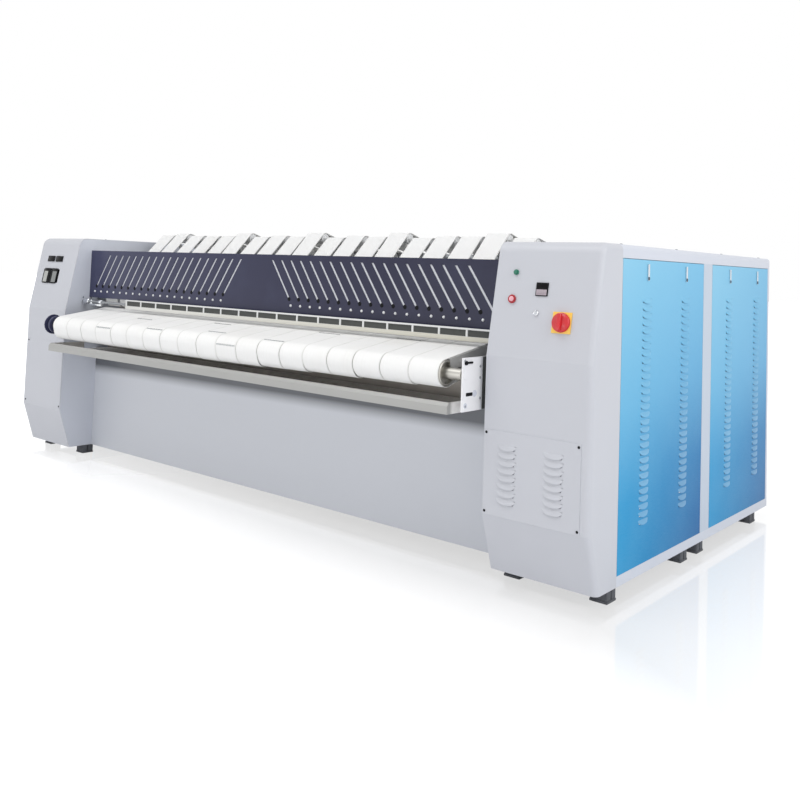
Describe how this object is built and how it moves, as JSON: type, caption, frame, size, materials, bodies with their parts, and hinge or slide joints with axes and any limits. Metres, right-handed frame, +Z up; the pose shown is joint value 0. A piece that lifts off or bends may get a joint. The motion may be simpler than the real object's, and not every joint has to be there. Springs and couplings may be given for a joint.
{
  "type": "flatwork ironer",
  "caption": "Pale grey flatwork ironer with blue louvred end doors, white feed belts and a dark slotted guard",
  "frame": {"origin": "on the floor, below the centre of the machine's footprint", "axes": "+X along the cylinders towards the control housing, +Y from the feed side to the rear, +Z up"},
  "size_m": [4.022, 2.1164, 1.3943],
  "materials": {
    "housing_paint": "satin",
    "frame_paint": "satin",
    "door_paint": "satin",
    "guard_paint": "satin",
    "stainless": "brushed",
    "polished_steel": "polished",
    "belt_cloth": "woven",
    "zinc_steel": "satin",
    "black_plastic": "matte",
    "green_plastic": "gloss",
    "red_plastic": "gloss",
    "yellow_plastic": "gloss",
    "machine_enamel": "satin"
  },
  "bodies": {
    "machine": {"access_panels": "housing_paint", "base_rail_left": "frame_paint", "base_rail_right": "frame_paint", "bearings": "machine_enamel", "controller": "black_plastic", "cross_members": "frame_paint", "drive_chain": "zinc_steel", "drive_motor": "machine_enamel", "feed_bed": "stainless", "feed_belts": "belt_cloth", "feed_plate_left": "guard_paint", "feed_plate_right": "frame_paint", "feed_tray": "stainless", "feet": "black_plastic", "front_casing_left": "housing_paint", "front_casing_right": "housing_paint", "guard_panel": "guard_paint", "lower_front_panel": "frame_paint", "mid_post_left": "frame_paint", "mid_post_right": "frame_paint", "panel_gauges": "black_plastic", "pressing_belts": "belt_cloth", "rear_belts": "belt_cloth", "rear_casing_left": "frame_paint", "rear_casing_right": "frame_paint", "rear_panels": "frame_paint", "side_frame_left": "frame_paint", "side_frame_right": "frame_paint", "switch_plate": "yellow_plastic", "tension_rollers": "zinc_steel", "top_cover_left": "frame_paint", "top_cover_right": "frame_paint"},
    "door_front_left": {"door_front_left": "door_paint"},
    "door_front_right": {"door_front_right": "door_paint"},
    "door_rear_left": {"door_rear_left": "door_paint"},
    "door_rear_right": {"door_rear_right": "door_paint"},
    "drive_sprocket": {"drive_sprocket": "zinc_steel"},
    "front_cylinder": {"front_cylinder": "polished_steel"},
    "front_feed_roller": {"front_feed_roller": "zinc_steel"},
    "green_button": {"green_button": "green_plastic"},
    "key_switch": {"key_switch": "polished_steel"},
    "latch_front_1_left": {"latch_front_1_left": "polished_steel"},
    "latch_front_1_right": {"latch_front_1_right": "polished_steel"},
    "latch_front_2_left": {"latch_front_2_left": "polished_steel"},
    "latch_front_2_right": {"latch_front_2_right": "polished_steel"},
    "latch_rear_1_left": {"latch_rear_1_left": "polished_steel"},
    "latch_rear_1_right": {"latch_rear_1_right": "polished_steel"},
    "latch_rear_2_left": {"latch_rear_2_left": "polished_steel"},
    "latch_rear_2_right": {"latch_rear_2_right": "polished_steel"},
    "nose_roller": {"nose_roller": "zinc_steel"},
    "rear_cylinder": {"rear_cylinder": "polished_steel"},
    "rear_entry_roller": {"rear_entry_roller": "zinc_steel"},
    "rear_exit_roller": {"rear_exit_roller": "zinc_steel"},
    "rear_feed_roller": {"rear_feed_roller": "zinc_steel"},
    "rear_low_roller": {"rear_low_roller": "zinc_steel"},
    "red_button": {"red_button": "red_plastic"},
    "return_roller": {"return_roller": "zinc_steel"},
    "safety_bar": {"safety_bar": "zinc_steel"},
    "switch_knob": {"switch_knob": "red_plastic"},
    "top_roller": {"top_roller": "zinc_steel"}
  },
  "joints": [
    {"name": "door_front_left_tilt", "type": "hinge", "parent": "machine", "child": "door_front_left", "pos_m": [-2.005, -0.2745, 0.0904], "axis": [0, -1, 0], "range_deg": [0, 30]},
    {"name": "latch_front_1_left_turn", "type": "hinge", "parent": "door_front_left", "child": "latch_front_1_left", "pos_m": [-2.005, -0.459, 1.226], "axis": [1, 0, 0], "range_deg": [0, 90]},
    {"name": "latch_front_2_left_turn", "type": "hinge", "parent": "door_front_left", "child": "latch_front_2_left", "pos_m": [-2.005, -0.074, 1.226], "axis": [1, 0, 0], "range_deg": [0, 90]},
    {"name": "door_rear_left_tilt", "type": "hinge", "parent": "machine", "child": "door_rear_left", "pos_m": [-2.005, 0.623, 0.0904], "axis": [0, -1, 0], "range_deg": [0, 30]},
    {"name": "latch_rear_1_left_turn", "type": "hinge", "parent": "door_rear_left", "child": "latch_rear_1_left", "pos_m": [-2.005, 0.454, 1.226], "axis": [1, 0, 0], "range_deg": [0, 90]},
    {"name": "latch_rear_2_left_turn", "type": "hinge", "parent": "door_rear_left", "child": "latch_rear_2_left", "pos_m": [-2.005, 0.839, 1.226], "axis": [1, 0, 0], "range_deg": [0, 90]},
    {"name": "door_front_right_tilt", "type": "hinge", "parent": "machine", "child": "door_front_right", "pos_m": [2.005, -0.2745, 0.0904], "axis": [0, 1, 0], "range_deg": [0, 30]},
    {"name": "latch_front_1_right_turn", "type": "hinge", "parent": "door_front_right", "child": "latch_front_1_right", "pos_m": [2.005, -0.459, 1.226], "axis": [1, 0, 0], "range_deg": [0, 90]},
    {"name": "latch_front_2_right_turn", "type": "hinge", "parent": "door_front_right", "child": "latch_front_2_right", "pos_m": [2.005, -0.074, 1.226], "axis": [1, 0, 0], "range_deg": [0, 90]},
    {"name": "door_rear_right_tilt", "type": "hinge", "parent": "machine", "child": "door_rear_right", "pos_m": [2.005, 0.623, 0.0904], "axis": [0, 1, 0], "range_deg": [0, 30]},
    {"name": "latch_rear_1_right_turn", "type": "hinge", "parent": "door_rear_right", "child": "latch_rear_1_right", "pos_m": [2.005, 0.454, 1.226], "axis": [1, 0, 0], "range_deg": [0, 90]},
    {"name": "latch_rear_2_right_turn", "type": "hinge", "parent": "door_rear_right", "child": "latch_rear_2_right", "pos_m": [2.005, 0.839, 1.226], "axis": [1, 0, 0], "range_deg": [0, 90]},
    {"name": "green_button_press", "type": "slide", "parent": "machine", "child": "green_button", "axis": [0, 0.9838, -0.1794], "range_m": [0, 0.004], "stiffness_N_per_m": 400},
    {"name": "red_button_press", "type": "slide", "parent": "machine", "child": "red_button", "axis": [0, 0.9838, -0.1794], "range_m": [0, 0.004], "stiffness_N_per_m": 400},
    {"name": "key_switch_turn", "type": "hinge", "parent": "machine", "child": "key_switch", "pos_m": [1.749, -0.87746, 1.056], "axis": [0, -0.9838, 0.1794], "range_deg": [-90, 0]},
    {"name": "switch_knob_turn", "type": "hinge", "parent": "machine", "child": "switch_knob", "pos_m": [1.864, -0.88293, 1.026], "axis": [0, -0.9838, 0.1794], "range_deg": [-90, 0]},
    {"name": "safety_bar_swing", "type": "hinge", "parent": "machine", "child": "safety_bar", "pos_m": [0, -0.791, 0.966], "axis": [1, 0, 0], "range_deg": [0, 10], "stiffness_Nm_per_rad": 4},
    {"name": "front_cylinder_turn", "type": "hinge", "parent": "machine", "child": "front_cylinder", "pos_m": [0, -0.269, 0.69], "axis": [1, 0, 0], "continuous": true},
    {"name": "rear_cylinder_turn", "type": "hinge", "parent": "machine", "child": "rear_cylinder", "pos_m": [0, 0.511, 0.69], "axis": [1, 0, 0], "continuous": true},
    {"name": "front_feed_roller_turn", "type": "hinge", "parent": "machine", "child": "front_feed_roller", "pos_m": [0, -0.999, 0.8065], "axis": [1, 0, 0], "continuous": true},
    {"name": "rear_feed_roller_turn", "type": "hinge", "parent": "machine", "child": "rear_feed_roller", "pos_m": [0, -0.704, 0.873], "axis": [1, 0, 0], "continuous": true},
    {"name": "nose_roller_turn", "type": "hinge", "parent": "machine", "child": "nose_roller", "pos_m": [0, -0.677, 0.9602], "axis": [1, 0, 0], "continuous": true},
    {"name": "return_roller_turn", "type": "hinge", "parent": "machine", "child": "return_roller", "pos_m": [0, 0.121, 1], "axis": [1, 0, 0], "continuous": true},
    {"name": "top_roller_turn", "type": "hinge", "parent": "machine", "child": "top_roller", "pos_m": [0, -0.004, 1.268], "axis": [1, 0, 0], "continuous": true},
    {"name": "rear_entry_roller_turn", "type": "hinge", "parent": "machine", "child": "rear_entry_roller", "pos_m": [0, 0.121, 0.47], "axis": [1, 0, 0], "continuous": true},
    {"name": "rear_low_roller_turn", "type": "hinge", "parent": "machine", "child": "rear_low_roller", "pos_m": [0, 0.731, 0.205], "axis": [1, 0, 0], "continuous": true},
    {"name": "rear_exit_roller_turn", "type": "hinge", "parent": "machine", "child": "rear_exit_roller", "pos_m": [0, 0.926, 0.79], "axis": [1, 0, 0], "continuous": true},
    {"name": "drive_sprocket_turn", "type": "hinge", "parent": "machine", "child": "drive_sprocket", "pos_m": [-1.7275, 0.841, 0.47], "axis": [1, 0, 0], "continuous": true}
  ],
  "couplings": [
    {"joint": "rear_cylinder_turn", "follows": "front_cylinder_turn", "ratio": -1},
    {"joint": "front_feed_roller_turn", "follows": "front_cylinder_turn", "ratio": 7.2549},
    {"joint": "rear_feed_roller_turn", "follows": "front_cylinder_turn", "ratio": 10.571},
    {"joint": "nose_roller_turn", "follows": "front_cylinder_turn", "ratio": -9.7368},
    {"joint": "return_roller_turn", "follows": "front_cylinder_turn", "ratio": -9.25},
    {"joint": "top_roller_turn", "follows": "front_cylinder_turn", "ratio": -13.214},
    {"joint": "rear_entry_roller_turn", "follows": "front_cylinder_turn", "ratio": 12.333},
    {"joint": "rear_low_roller_turn", "follows": "front_cylinder_turn", "ratio": 12.333},
    {"joint": "rear_exit_roller_turn", "follows": "front_cylinder_turn", "ratio": 12.333},
    {"joint": "drive_sprocket_turn", "follows": "front_cylinder_turn", "ratio": 3}
  ]
}
